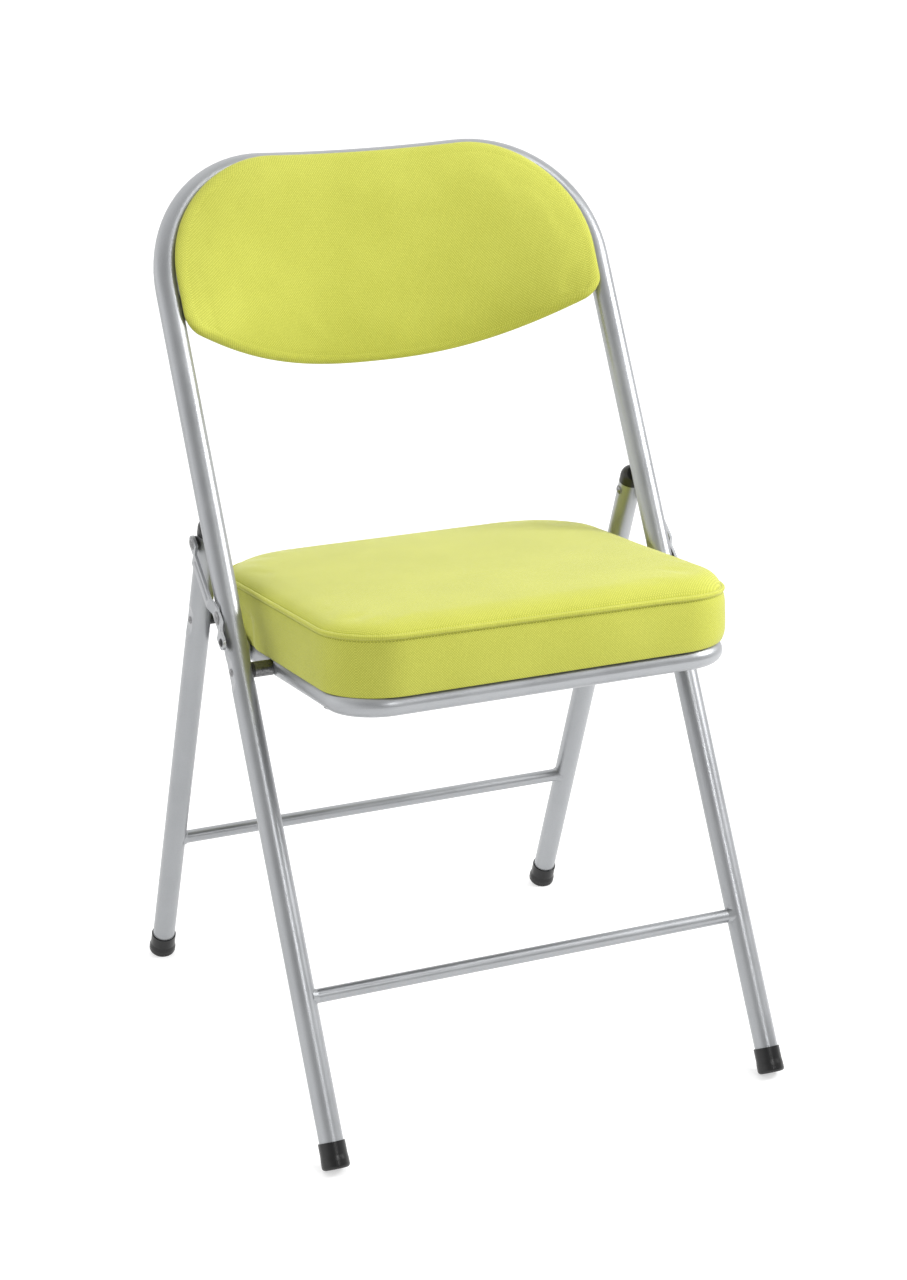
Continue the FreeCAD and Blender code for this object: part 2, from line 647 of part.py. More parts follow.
def back_section(x, inset, rear_gap, edge, middle, end_bulge):
    """Section of the back at x: straight rear, ends that may bulge, and a straight or bowed front."""
    low_up = lower_edge(x, inset)
    high_up = upper_edge(x, inset)
    low = on_frame(x, low_up, board_out(x, low_up))
    high = on_frame(x, high_up, board_out(x, high_up))
    along = (high - low).normalize()
    outward = X.cross(along)
    low = low + outward * rear_gap
    high = high + outward * rear_gap
    front_low = low + outward * edge
    front_high = high + outward * edge
    if end_bulge == 0:
        ends = [line(high, front_high), line(front_high, front_low), line(front_low, low)]
    else:
        bulge = along * end_bulge
        crest = (low + high) * 0.5 + outward * middle
        ends = [arc(high, (high + front_high) * 0.5 + bulge, front_high),
                arc(front_high, crest, front_low),
                arc(front_low, (front_low + low) * 0.5 - bulge, low)]
    return Part.Wire([line(low, high)] + ends)


BACK_STEPS = 6
back_turns = [math.pi / 2 * i / BACK_STEPS for i in range(-BACK_STEPS, BACK_STEPS + 1)]


def flat_back(inset, rear_gap, thickness):
    """Board that follows the dish, as a loft of sections that crowd together at its round ends."""
    places = [(pad_half - inset) * math.sin(turn) for turn in back_turns]
    return Part.makeLoft([back_section(x, inset, rear_gap, thickness, 0, 0) for x in places], True)


def padded_back():
    """Pad that follows the dish, thickest in the middle and thinning to its rounded ends."""
    wires = []
    for turn in back_turns:
        share = math.cos(turn)
        edge = PAD_EDGE * (1 + min(1, 2 * share)) / 2
        middle = edge + (PAD_MIDDLE - PAD_EDGE) * math.sqrt(share) + CLEAR
        wires.append(back_section(pad_half * math.sin(turn), 0, 0, edge, middle, edge / 6))
    return Part.makeLoft(wires, True)


frame_clear = rod_along(hoop_path, frame_r + CLEAR)
back_board = flat_back(BACK_BOARD_INSET, 0, BACK_BOARD).cut(frame_clear)
back_pocket = flat_back(BACK_BOARD_INSET - CLEAR, -BACK_BOARD, 2 * BACK_BOARD + CLEAR)
back_pad = padded_back().cut(back_pocket).cut(frame_clear)
frame_seat = rod_along(hoop_path, frame_r + SEATED)


# Tabs are pressed to the dish behind the back board, each with a screw through it into the board
tab_sheet = flat_back(0, -TAB - CLEAR, TAB).cut(frame_seat)
room = HOOP_CORNER


def back_tab(x, up, span_across, span_up):
    """Tab and its screw at a place on the board's rear face, with the tab's spans about that place."""
    block = Part.makeBox(span_across[1] - span_across[0], span_up[1] - span_up[0], 2 * room,
                         V(span_across[0], span_up[0], -room))
    trimmed = tab_sheet.common(placed(block, on_frame(x, up), X, FRAME_UP, FRAME_OUT))
    plate = max(trimmed.Solids, key=lambda solid: solid.Volume)
    step = TAB_WIDTH / 4
    turn_across = (board_out(x + step, up) - board_out(x - step, up)) / (2 * step)
    turn_up = (board_out(x, up + step) - board_out(x, up - step)) / (2 * step)
    outward = (X + FRAME_OUT * turn_across).cross(FRAME_UP + FRAME_OUT * turn_up).normalize()
    rear = TAB + 2 * CLEAR
    start = on_frame(x, up, board_out(x, up)) - outward * rear
    length = rear + BACK_BOARD / 2
    screw = bar(start, outward, length, SCREW / 2)
    screw = screw.fuse(dome(start, outward * -1, SCREW_HEAD / 2, SCREW_RISE))
    drill = bar(start, outward, length + SEATED, SCREW / 2 + SEATED)
    return plate.cut(drill), screw, drill


half_width = TAB_WIDTH / 2
half_length = TAB_LENGTH / 2
tabs = [
    back_tab(frame_x - frame_r - half_length, pad_top - PAD_HEIGHT / 2 - SIDE_TAB_DOWN,
             (-half_length, half_length + TAB_LAP), (-half_width, half_width)),
    back_tab(TOP_TAB_SIDE, pad_top - TOP_TAB_DOWN,
             (-half_width, half_width), (-half_width, TOP_TAB_DOWN - PAD_OVER_BAR)),
]
back_tabs = []
back_screws = []
for plate, screw, drill in tabs:
    back_tabs += pair(plate).Solids
    back_screws += pair(screw).Solids
    back_board = back_board.cut(pair(drill))

pieces = {
    "front_frame_hoop": hoop,
    "front_stretcher": front_stretcher,
    "front_foot_left": front_foot,
    "front_foot_right": mirrored(front_foot),
    "back_board": back_board,
    "back_pad": back_pad,
    "back_tabs": Part.makeCompound(back_tabs),
    "back_screws": Part.makeCompound(back_screws),
    "seat_pivot_rivets": pair(seat_rivet),
    "seat_pivot_washers": pair(seat_washer),
    "link_pivot_rivets": pair(link_rivet),
    "link_pivot_washers": pair(link_washer),
    "seat_front_bow": seat_bow,
    "seat_rail_left": seat_rail,
    "seat_rail_right": mirrored(seat_rail),
    "seat_hinge_plate_left": hinge_plate,
    "seat_hinge_plate_right": mirrored(hinge_plate),
    "seat_pivot_sleeves": pair(sleeve),
    "seat_rail_plugs": pair(rail_plug),
    "rear_pivot_spacers": pair(rear_spacer),
    "seat_board": seat_board,
    "seat_cushion": cushion,
    "seat_screws": Part.makeCompound(seat_screws),
    "rear_leg_left": rear_leg,
    "rear_leg_right": mirrored(rear_leg),
    "rear_stretcher": rear_stretcher,
    "rear_foot_left": rear_foot,
    "rear_foot_right": mirrored(rear_foot),
    "leg_cap_left": cap,
    "leg_cap_right": mirrored(cap),
    "rear_pivot_rivets": pair(rear_rivet),
    "link_end_leg_rivets": pair(leg_rivet),
    "link_left": link,
    "link_right": mirrored(link),
    "link_end_rivet_left": end_rivet,
    "link_end_rivet_right": mirrored(end_rivet),
    "link_end_washers_left": end_washers,
    "link_end_washers_right": mirrored(end_washers),
    "link_bumper_left": bumper,
    "link_bumper_right": mirrored(bumper),
}

os.makedirs("parts", exist_ok=True)
for name, shape in pieces.items():
    shape.exportStep("parts/" + name + ".step")
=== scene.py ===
import json
import math

import bpy
import numpy as np
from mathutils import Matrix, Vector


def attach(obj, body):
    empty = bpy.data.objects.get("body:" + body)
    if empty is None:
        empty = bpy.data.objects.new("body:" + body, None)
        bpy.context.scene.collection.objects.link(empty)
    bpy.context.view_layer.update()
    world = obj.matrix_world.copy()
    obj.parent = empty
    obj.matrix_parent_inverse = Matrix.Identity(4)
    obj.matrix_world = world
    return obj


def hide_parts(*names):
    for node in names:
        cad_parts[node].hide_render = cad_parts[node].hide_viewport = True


# Folding chair of silver steel tube with a lime box cushion and a dished, padded back.
# Metres. +X is the sitter's left, the chair faces -Y and stands on the floor at Z = 0.
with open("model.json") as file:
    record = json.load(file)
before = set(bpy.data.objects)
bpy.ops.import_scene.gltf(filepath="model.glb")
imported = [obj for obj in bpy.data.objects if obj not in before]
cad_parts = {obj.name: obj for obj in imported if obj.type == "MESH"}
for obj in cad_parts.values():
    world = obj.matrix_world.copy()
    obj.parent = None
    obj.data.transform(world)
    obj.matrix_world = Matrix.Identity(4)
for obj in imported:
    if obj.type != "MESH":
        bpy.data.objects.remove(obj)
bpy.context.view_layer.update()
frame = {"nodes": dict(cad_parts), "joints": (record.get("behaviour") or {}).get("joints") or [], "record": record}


# Front hoop, rear legs, stretchers, seat frame and hinge plates: bent steel tube and plate, welded
# and then sprayed with a silver satin paint whose fine flakes give it a soft metal sheen.
def finish(name, **sockets):
    """New material with one Principled shader, whose constant values are set on its own sockets."""
    material = bpy.data.materials.new(name)
    material.use_nodes = True
    shader = material.node_tree.nodes["Principled BSDF"]
    for socket, value in sockets.items():
        shader.inputs[socket.replace("_", " ")].default_value = value
    return material


def node(material, kind, inputs=None, **options):
    """Adds a node. inputs gives a socket its value, or the output socket that feeds it."""
    made = material.node_tree.nodes.new(kind)
    for option, value in options.items():
        setattr(made, option, value)
    for socket, value in (inputs or {}).items():
        if isinstance(value, bpy.types.NodeSocket):
            material.node_tree.links.new(value, made.inputs[socket])
        else:
            made.inputs[socket].default_value = value
    return made


def feed(material, **sockets):
    """Feeds sockets of the material's Principled shader from other nodes."""
    shader = material.node_tree.nodes["Principled BSDF"]
    for socket, output in sockets.items():
        material.node_tree.links.new(output, shader.inputs[socket.replace("_", " ")])


def reckon(material, operation, *values):
    """Result of one sum on numbers or on the outputs of other nodes."""
    return node(material, "ShaderNodeMath", dict(enumerate(values)), operation=operation).outputs[0]


def ranged(material, value, start, end, low, high):
    """Runs evenly from low, where the value is at start, to high at end, and stays level past both."""
    ends = {"Value": value, "From Min": start, "From Max": end, "To Min": low, "To Max": high}
    return node(material, "ShaderNodeMapRange", ends).outputs["Result"]


def speckle(material, size, detail):
    """Noise on the object's own coordinates, whose grains are about size metres across."""
    place = node(material, "ShaderNodeTexCoord").outputs["Object"]
    grains = {"Vector": place, "Scale": 1 / size, "Detail": detail}
    return node(material, "ShaderNodeTexNoise", grains).outputs["Fac"]


def spread(material, noise, low, high):
    """Noise, which keeps to 0.3 to 0.7, stretched to run from low to high."""
    return ranged(material, noise, 0.3, 0.7, low, high)


def tint(material, share, dark, light):
    """Colour between dark and light by a share from 0 to 1."""
    mixed = node(material, "ShaderNodeMix", {"Factor": share}, data_type="RGBA")
    mixed.inputs["A"].default_value = (*dark, 1)
    mixed.inputs["B"].default_value = (*light, 1)
    return mixed.outputs["Result"]


def relief(material, height, depth, strength=1.0):
    """Bump of a height from 0 to 1, depth metres deep."""
    raised = {"Height": height, "Distance": depth, "Strength": strength}
    return node(material, "ShaderNodeBump", raised).outputs["Normal"]


def dress(slot, material):
    """Gives a finish to every CAD node of one of the record's material slots."""
    for subpart in frame["record"]["subparts"]:
        if subpart["material_slot"] == slot:
            frame["nodes"][subpart["node"]].material_slots[0].material = material


def silver_paint(name, dark, light, roughness):
    """Silver paint: metal flakes in clear lacquer, a little orange peel, uneven gloss."""
    flake_size, cloud_size, peel_size, peel_depth = 0.0006, 0.045, 0.0022, 0.00004
    paint = finish(name, Metallic=0.75, Coat_Weight=0.1, Coat_Roughness=0.3)
    cloud = speckle(paint, cloud_size, 3.0)
    both = reckon(paint, "ADD", speckle(paint, flake_size, 1.0), cloud)
    shade = spread(paint, reckon(paint, "MULTIPLY", both, 0.5), 0, 1)
    feed(paint,
         Base_Color=tint(paint, shade, dark, light),
         Roughness=spread(paint, cloud, roughness - 0.04, roughness + 0.05),
         Normal=relief(paint, speckle(paint, peel_size, 2.0), peel_depth))
    return paint


dress("frame_paint", silver_paint("silver_paint", (0.35, 0.36, 0.373), (0.422, 0.433, 0.447), 0.37))

# Side links: strips pressed from steel sheet, with a stiffening bead and an eye at each pivot, in the
# same silver paint, a little glossier, and a little darker as painted shade for the shadow they stand in.
dress("link_steel", silver_paint("link_paint_shaded", (0.33, 0.339, 0.35), (0.42, 0.43, 0.443), 0.36))


# Rivets, sleeves and screws: turned and cold-headed steel, zinc plated, with fine turning marks
# and small spots where the plating has dulled. The sleeves at the seat's pivots are darker.
def zinc_plate(name, dark, light):
    """Zinc plating: bright metal, a fine grain of turning marks and dull spots."""
    spot_size, mark_size, mark_depth = 0.0016, 0.0004, 0.00002
    zinc = finish(name, Metallic=1.0)
    dull = speckle(zinc, spot_size, 4.0)
    feed(zinc,
         Base_Color=tint(zinc, spread(zinc, dull, 0, 1), dark, light),
         Roughness=spread(zinc, dull, 0.38, 0.24),
         Normal=relief(zinc, speckle(zinc, mark_size, 1.0), mark_depth))
    return zinc


dress("rivet_steel", zinc_plate("rivet_zinc", (0.16, 0.16, 0.164), (0.29, 0.29, 0.295)))
dress("screw_steel", zinc_plate("screw_zinc", (0.34, 0.34, 0.35), (0.5, 0.5, 0.51)))
sleeve_zinc = zinc_plate("sleeve_zinc", (0.09, 0.09, 0.092), (0.2, 0.2, 0.203))
frame["nodes"]["seat_pivot_sleeves"].material_slots[0].material = sleeve_zinc


# Feet: thick caps of black rubber pushed over the tube ends, a little shiny from the mould and
# greyed by fine scuffs near the floor.
def foot_rubber():
    """Black rubber: pebbled by the mould, with a scuffed grey rim in its lowest nine millimetres."""
    pebble_size, pebble_depth, scuff_size = 0.0011, 0.00005, 0.003
    scuff_top, scuff_full, scuff_most = 0.009, 0.001, 0.6
    rubber = finish("foot_rubber", Specular_IOR_Level=0.45)
    place = node(rubber, "ShaderNodeTexCoord").outputs["Object"]
    height = node(rubber, "ShaderNodeSeparateXYZ", {0: place}).outputs["Z"]
    low = ranged(rubber, height, scuff_top, scuff_full, 0, scuff_most)
    scuffs = spread(rubber, speckle(rubber, scuff_size, 6.0), 0, 1)
    worn = reckon(rubber, "MULTIPLY", low, scuffs)
    feed(rubber,
         Base_Color=tint(rubber, worn, (0.006, 0.006, 0.0065), (0.045, 0.043, 0.04)),
         Roughness=ranged(rubber, worn, 0, 1, 0.33, 0.75),
         Normal=relief(rubber, speckle(rubber, pebble_size, 2.0), pebble_depth))
    return rubber


dress("foot_rubber", foot_rubber())


# Leg caps, rail plugs, washers, spacers and bumpers: injection-moulded black plastic, with the
# fine spark-eroded grain of the mould.
def moulded_black():
    """Black plastic: a fine even grain, a little deeper and duller in patches."""
    grain_size, grain_depth, patch_size = 0.0005, 0.00003, 0.008
    dark, light = (0.006, 0.006, 0.007), (0.016, 0.016, 0.017)
    plastic = finish("moulded_black", Specular_IOR_Level=0.5)
    patches = speckle(plastic, patch_size, 2.0)
    feed(plastic,
         Base_Color=tint(plastic, spread(plastic, patches, 0, 1), dark, light),
         Roughness=spread(plastic, patches, 0.34, 0.46),
         Normal=relief(plastic, speckle(plastic, grain_size, 2.0), grain_depth))
    return plastic


dress("black_plastic", moulded_black())


# Boards under the cushion and behind the back: plywood sheets whose open faces are covered with
# a thin black non-woven cloth, glued on.
def board_cloth():
    """Black non-woven: pressed fibres with a regular field of small bonded points."""
    fibre_size, bond_gap, cloth_depth = 0.0009, 0.0022, 0.00012
    dark, light = (0.012, 0.012, 0.013), (0.035, 0.035, 0.036)
    cloth = finish("board_cloth", Sheen_Weight=0.15, Sheen_Roughness=0.6, Specular_IOR_Level=0.2)
    fibres = speckle(cloth, fibre_size, 6.0)
    place = node(cloth, "ShaderNodeTexCoord").outputs["Object"]
    points = {"Vector": place, "Scale": 1 / bond_gap, "Randomness": 0.15}
    bonds = node(cloth, "ShaderNodeTexVoronoi", points).outputs["Distance"]
    feed(cloth,
         Base_Color=tint(cloth, spread(cloth, fibres, 0, 1), dark, light),
         Roughness=spread(cloth, fibres, 0.8, 0.95),
         Normal=relief(cloth, reckon(cloth, "ADD", fibres, bonds), cloth_depth))
    return cloth


dress("board", board_cloth())


# Seat cushion: a foam block on the seat board under a cover of lime cloth. The cover's top panel
# and its band are sewn together over a welt, and the band is drawn down round the board's edge.
SEAT_TILT = math.radians(5.15)
CUSHION_FRONT = 0.188
CUSHION_REAR = -0.174
CUSHION_HALF = 0.1973
CUSHION_CORNERS = (0.062, 0.062, 0.085, 0.085)
SIDE_SHIFT = 0.0018
SHOULDER_UP = 0.0115
SHOULDER_REACH = 0.022
CROWN = 0.0025
CORNER_RISE = 0.08
SEAM_UP = 0.0592
SEAM_INSET = 0.0032
SEAM_FALL = 0.010
SEAM_DIP = 0.3
SEAM_DIP_START = 0.1
BAND_SWELL = 0.0014
BAND_SHIFT = 0.0017
BAND_ROWS = 10
HEM_UP = 0.0086
HEM_SLANT = 0.003
HEM_LIFT = 0.0006
HEM_TURN = ((0.15, 0.0001), (0.4, 0.0), (0.75, 0.0004), (0.97, 0.0014), (1, 0.0024))
BOARD_TOP = 0.0186
BOARD_REAR_HALF = 0.188
POCKET_INSET = 0.0052
POCKET_RING_DOWN = 0.0010
PLATE_REAR = -0.134
PLATE_FRONT = -0.046
PLATE_TOP = 0.037
PLATE_INSIDE = 0.1893
PLATE_EASE = 0.9
CUSHION_CELLS = (72, 64)
CUSHION_REACH = 0.0008
seat_pivot = np.array(next(j["pos_m"] for j in frame["joints"] if j["name"] == "seat_fold"))
seat_forward = np.array([0, -math.cos(SEAT_TILT), math.sin(SEAT_TILT)])
seat_up = np.array([0, math.sin(SEAT_TILT), math.cos(SEAT_TILT)])


def crowded(count):
    """Steps from 0 to 1 that crowd together at both ends: t - 0.6 sin(2 pi t) / (2 pi)."""
    t = np.linspace(0, 1, count + 1)
    return t - 0.6 * np.sin(2 * math.pi * t) / (2 * math.pi)


def rounded_loop(corners, radii, cells):
    """Closed loop round four corners, each an arc of its radius. It starts half way round the first
    arc, its sides have cells[0], cells[1], ... points, and these crowd together at the corners."""
    corners = np.array(corners, float)
    ahead = np.roll(corners, -1, 0) - corners
    ahead /= np.linalg.norm(ahead, axis=1)[:, None]
    behind = np.roll(ahead, 1, 0)
    left = np.stack([-behind[:, 1], behind[:, 0]], 1)
    turn = np.arccos(np.clip((ahead * behind).sum(1), -1, 1))

    def half_arc(i, start, end):
        angle = turn[i] * np.linspace(start, end, 40)[:, None]
        first = corners[i] - behind[i] * radii[i] * math.tan(turn[i] / 2)
        return first + radii[i] * (np.sin(angle) * behind[i] + (1 - np.cos(angle)) * left[i])

    sides = []
    for i in range(4):
        line = np.concatenate([half_arc(i, 0.5, 1), half_arc((i + 1) % 4, 0, 0.5)])
        steps = np.linalg.norm(np.diff(line, axis=0), axis=1)
        along = np.concatenate([[0], np.cumsum(steps)])
        wanted = along[-1] * crowded(cells[i % 2])[:-1]
        sides.append(np.stack([np.interp(wanted, along, line[:, k]) for k in (0, 1)], 1))
    return np.concatenate(sides)


def length_round(loop):
    """Length along a closed loop at each of its points, and where it meets its first point again."""
    steps = np.linalg.norm(np.roll(loop, -1, 0) - loop, axis=1)
    return np.concatenate([[0], np.cumsum(steps)])


def coons_panel(loop, cells):
    """Grid that fills a loop: each point is the sum of the blends between opposite sides, less the
    blend between the four corners."""
    across, along = cells
    closed = np.concatenate([loop, loop[:1]])
    a, b, c = across, across + along, 2 * across + along
    low, right = closed[:a + 1], closed[a:b + 1]
    high, left = closed[b:c + 1][::-1], closed[c:][::-1]
    u = crowded(across)[None, :, None]
    v = crowded(along)[:, None, None]
    sides = (1 - v) * low[None] + v * high[None] + (1 - u) * left[:, None] + u * right[:, None]
    ends = (1 - u) * (1 - v) * low[0] + u * (1 - v) * low[-1]
    ends = ends + (1 - u) * v * high[0] + u * v * high[-1]
    return sides - ends


def dome_share(cells):
    """Height of a stuffed panel over its grid as a share: (1 - a ** 4) (1 - b ** 4), where a and b
    run from -1 to 1."""
    a, b = 2 * crowded(cells[0])[None, :] - 1, 2 * crowded(cells[1])[:, None] - 1
    return np.maximum((1 - a ** 4) * (1 - b ** 4), 0)


def rim_of(cells):
    """Indices of a panel's rim in the order of its loop."""
    across, along = cells
    index = np.arange((across + 1) * (along + 1)).reshape(along + 1, across + 1)
    return np.concatenate([index[0, :-1], index[:-1, -1], index[-1, :0:-1], index[:0:-1, 0]])


def cell_corners(cloth):
    """The four corners of every cell of a grid of places on the cloth."""
    cells = [cloth[:-1, :-1], cloth[1:, :-1], cloth[1:, 1:], cloth[:-1, 1:]]
    return np.stack(cells, 2).reshape(-1, 4, 2)


def cloth_piece(name, points, quads, corners):
    """New smooth piece of four-sided faces. corners gives each face's four places on the cloth in
    metres, for the weave."""
    mesh = bpy.data.meshes.new(name)
    mesh.from_pydata(points, [], quads.tolist())
    mesh.uv_layers.new(name="cloth").uv.foreach_set("vector", corners.astype(np.float32).ravel())
    mesh.polygons.foreach_set("use_smooth", np.ones(len(quads), bool))
    mesh.update()
    piece = bpy.data.objects.new(name, mesh)
    bpy.context.scene.collection.objects.link(piece)
    return piece


def upholstered(name, cells, face, rings, back, flat_face, flat_rings, flat_back):
    """Closed cover of a face panel, rings of points round its edge and a back panel.
    The flat arrays give each point's place on the cloth in metres."""
    across, along = cells
    ring_size = 2 * (across + along)
    panel_size = (across + 1) * (along + 1)
    points = np.concatenate([face.reshape(-1, 3), rings.reshape(-1, 3), back.reshape(-1, 3)])
    index = np.arange(panel_size).reshape(along + 1, across + 1)
    quads = np.stack([index[:-1, :-1], index[:-1, 1:], index[1:, 1:], index[1:, :-1]], -1).reshape(-1, 4)
    back_start = panel_size + len(rings) * ring_size
    inner = panel_size + np.arange(len(rings) * ring_size).reshape(len(rings), ring_size)
    chain = np.concatenate([rim_of(cells)[None], inner, (back_start + rim_of(cells))[None]])
    nxt = np.roll(chain, -1, 1)
    band = np.stack([chain[:-1], chain[1:], nxt[1:], nxt[:-1]], -1).reshape(-1, 4)
    faces = np.concatenate([quads, band, quads[:, ::-1] + back_start])
    around, down = flat_rings
    t, s = np.meshgrid(down, around, indexing="ij")
    band_cloth = cell_corners(np.stack([s, t], -1))
    face_cloth, back_cloth = flat_face.reshape(-1, 2)[quads], flat_back.reshape(-1, 2)[quads[:, ::-1]]
    return cloth_piece(name, points, faces, np.concatenate([face_cloth, band_cloth, back_cloth]))


def points_of(mesh):
    """Points of a mesh as an array."""
    flat = np.zeros(len(mesh.vertices) * 3, np.float32)
    mesh.vertices.foreach_get("co", flat)
    return flat.reshape(-1, 3).astype(float)


def set_points(piece, points):
    """Puts new points into a piece's mesh."""
    piece.data.vertices.foreach_set("co", points.astype(np.float32).ravel())
    piece.data.update()


def swell(piece, sewn, reach):
    """Cloth simulation of the cover: twenty frames of the foam's pressure with the sewn points held.
    A point that would move by m moves by reach * tanh(m / reach)."""
    last_frame = 20
    start = points_of(piece.data)
    group = piece.vertex_groups.new(name="sewn")
    group.add(np.flatnonzero(sewn).tolist(), 1.0, "REPLACE")
    modifier = piece.modifiers.new("cover", "CLOTH")
    modifier.point_cache.frame_end = last_frame
    modifier.collision_settings.use_collision = False
    cloth = modifier.settings
    cloth.quality = 6
    cloth.mass = 0.2
    cloth.tension_stiffness = 25
    cloth.compression_stiffness = 25
    cloth.shear_stiffness = 12
    cloth.bending_stiffness = 1.5
    cloth.use_pressure = True
    cloth.uniform_pressure_force = 4
    cloth.effector_weights.gravity = 0
    cloth.vertex_group_mass = "sewn"
    for tick in range(1, last_frame + 1):
        bpy.context.scene.frame_set(tick)
    settled = piece.evaluated_get(bpy.context.evaluated_depsgraph_get()).to_mesh()
    moved = points_of(settled) - start
    piece.modifiers.remove(modifier)
    piece.vertex_groups.remove(group)
    bpy.context.scene.frame_set(1)
    size = np.linalg.norm(moved, axis=1)[:, None]
    set_points(piece, start + moved * (reach * np.tanh(size / reach) / np.maximum(size, 1e-9)))


def rounder(piece):
    """One level of subdivision, so that the cover's cells don't show."""
    smooth = piece.modifiers.new("rounder", "SUBSURF")
    smooth.levels = 1
    smooth.render_levels = 1


def lime_weave(name, turn):
    """Plain weave: warp and weft yarns of 1.2 mm that pass over and under one another by turns, each
    rounded across its width. Painted shade: yarns are paler on their crowns and where they lie on top,
    and darker at their edges, in the gaps and where they pass under.
    A row of 3 mm stitches is drawn where the second cloth coordinate is 1.0026, just below the seam, in
    a dark colour that is partly the thread's and partly painted shade in the stitch holes."""
    yarn, yarn_depth, fuzz_size, dye_size = 0.0012, 0.00015, 0.0012, 0.05
    # Painted shade: the gap colour is the yarns' shade in the gaps, the top colour their lit tops, and the
    # stitches' colour is partly thread and partly painted shade in their holes.
    gap_shade_colour, lit_top_colour, thread_and_shade_colour = (0.42, 0.44, 0.05), (0.74, 0.755, 0.15), (0.16, 0.17, 0.02)
    stitch_row, stitch_half, stitch_step = 1.0026, 0.0004, 0.003
    weave = finish(name, Sheen_Weight=0.44, Sheen_Roughness=0.3, Specular_IOR_Level=0.25)

    def sum_of(operation, *values):
        return reckon(weave, operation, *values)

    place = node(weave, "ShaderNodeUVMap", uv_map="cloth").outputs["UV"]
    lay = {"Vector": place, "Rotation": (0, 0, turn), "Scale": (1 / yarn, 1 / yarn, 1)}
    yarns = node(weave, "ShaderNodeMapping", lay).outputs["Vector"]
    counted = node(weave, "ShaderNodeSeparateXYZ", {0: yarns})
    warp, weft = counted.outputs["X"], counted.outputs["Y"]
    warp_ridge = sum_of("ABSOLUTE", sum_of("SINE", sum_of("MULTIPLY", warp, math.pi)))
    weft_ridge = sum_of("ABSOLUTE", sum_of("SINE", sum_of("MULTIPLY", weft, math.pi)))
    step = sum_of("ADD", sum_of("FLOOR", warp), sum_of("FLOOR", weft))
    over = sum_of("LESS_THAN", sum_of("FRACT", sum_of("MULTIPLY", step, 0.5)), 0.25)
    ridge = node(weave, "ShaderNodeMix", {0: over, 2: weft_ridge, 3: warp_ridge}).outputs[0]
    fuzz = speckle(weave, fuzz_size, 4.0)
    # Painted shade and highlight from the yarns' crowns and from which yarn lies on top; fuzz and dye add random
    # tone.
    shade = sum_of("MULTIPLY_ADD", ridge, 0.35, sum_of("MULTIPLY", over, 0.45))
    shade = sum_of("ADD", shade, spread(weave, fuzz, -0.1, 0.15))
    shade = sum_of("ADD", shade, spread(weave, speckle(weave, dye_size, 3.0), -0.04, 0.08))
    spot = node(weave, "ShaderNodeSeparateXYZ", {0: place})
    off_row = sum_of("ABSOLUTE", sum_of("SUBTRACT", spot.outputs["Y"], stitch_row))
    on_row = sum_of("LESS_THAN", off_row, stitch_half)
    part_way = sum_of("FRACT", sum_of("DIVIDE", spot.outputs["X"], stitch_step))
    # Stitches: dark dashes, partly thread and partly painted shade in the stitch holes.
    stitch = sum_of("MULTIPLY", sum_of("MULTIPLY", on_row, sum_of("LESS_THAN", part_way, 0.6)), 0.6)
    yarn_colour = tint(weave, shade, gap_shade_colour, lit_top_colour)
    sewn = node(weave, "ShaderNodeMix", {"Factor": stitch, "A": yarn_colour}, data_type="RGBA")
    sewn.inputs["B"].default_value = (*thread_and_shade_colour, 1)
    feed(weave,
         Base_Color=sewn.outputs["Result"],
         Roughness=spread(weave, fuzz, 0.8, 0.95),
         Normal=relief(weave, ridge, yarn_depth, 0.6))
    return weave


def on_seat(flat, up):
    """Points of the seat, from places (forward, x) and heights above the axes of the seat's rails."""
    forward, x = flat[..., 0], flat[..., 1]
    up = np.broadcast_to(up, x.shape)
    across = x[..., None] * np.array([1.0, 0, 0])
    return seat_pivot * (0, 1, 1) + across + forward[..., None] * seat_forward + up[..., None] * seat_up


def cushion_loop(inset, rear_half=CUSHION_HALF):
    """The cushion's outline drawn in by an inset: straight sides that may narrow to the rear."""
    front, rear = CUSHION_FRONT - inset, CUSHION_REAR + inset
    near, far = CUSHION_HALF - inset, rear_half - inset
    corners = [(front, -near), (front, near), (rear, far), (rear, -far)]
    return rounded_loop(corners, [r - inset for r in CUSHION_CORNERS], CUSHION_CELLS)


def cover_loop(inset):
    """The cover's outline, which sits a little to the sitter's left on its board."""
    return cushion_loop(inset) + (0, SIDE_SHIFT)


def rim_distance(flat, loop):
    """Distance of each place on a panel from the nearest edge of its loop."""
    ahead = np.roll(loop, -1, 0) - loop
    way = flat[..., None, :] - loop
    share = np.clip((way * ahead).sum(-1) / (ahead ** 2).sum(-1), 0, 1)
    return np.linalg.norm(way - share[..., None] * ahead, axis=-1).min(-1)


def seam_up(flat):
    """Height of the seam: it falls evenly to the sitter's left, and by the square of the distance
    from SEAM_DIP_START to that side."""
    x = flat[..., 1]
    return SEAM_UP - SEAM_FALL * x - SEAM_DIP * np.maximum(x - SEAM_DIP_START, 0) ** 2


def pressed_in(points):
    """Keeps the cover between the hinge plates, PLATE_INSIDE either side of the middle. The limit
    widens by PLATE_EASE of the distance from the plates' front, rear and upper edges."""
    way = points - seat_pivot * (0, 1, 1)
    forward, up = way @ seat_forward, way @ seat_up
    beside = np.maximum(np.maximum(PLATE_REAR - forward, forward - PLATE_FRONT), 0)
    limit = PLATE_INSIDE + PLATE_EASE * np.hypot(beside, np.maximum(up - PLATE_TOP, 0))
    return np.column_stack([np.clip(points[:, 0], -limit, limit), points[:, 1:]])


